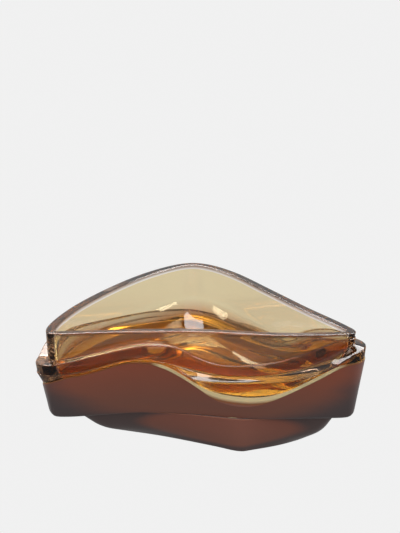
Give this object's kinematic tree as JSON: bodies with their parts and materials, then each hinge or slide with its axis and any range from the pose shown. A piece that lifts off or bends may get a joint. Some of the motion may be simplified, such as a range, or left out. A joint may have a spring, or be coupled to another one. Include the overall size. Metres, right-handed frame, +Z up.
{
  "type": "art glass bowl",
  "caption": "Heavy three-cornered art glass bowl: clear amber hollow with a stepped, wave-cut collar, seated in a satin brown shell on a tapering foot.",
  "frame": {"origin": "Middle of the footprint, on the plane the foot stands on.", "axes": "+Z up through the rim, +X to the right along the long straight side of the rim, -Y out of that side to the front."},
  "size_m": [0.3064, 0.249, 0.118],
  "materials": {
    "amber_glass": "clear, polished",
    "satin_brown": "satin, translucent brown",
    "satin_foot": "satin, translucent dark brown"
  },
  "bodies": {
    "root": {"inner_bowl": "amber_glass", "satin_shell": "satin_brown", "foot_tier": "satin_foot"}
  },
  "joints": []
}
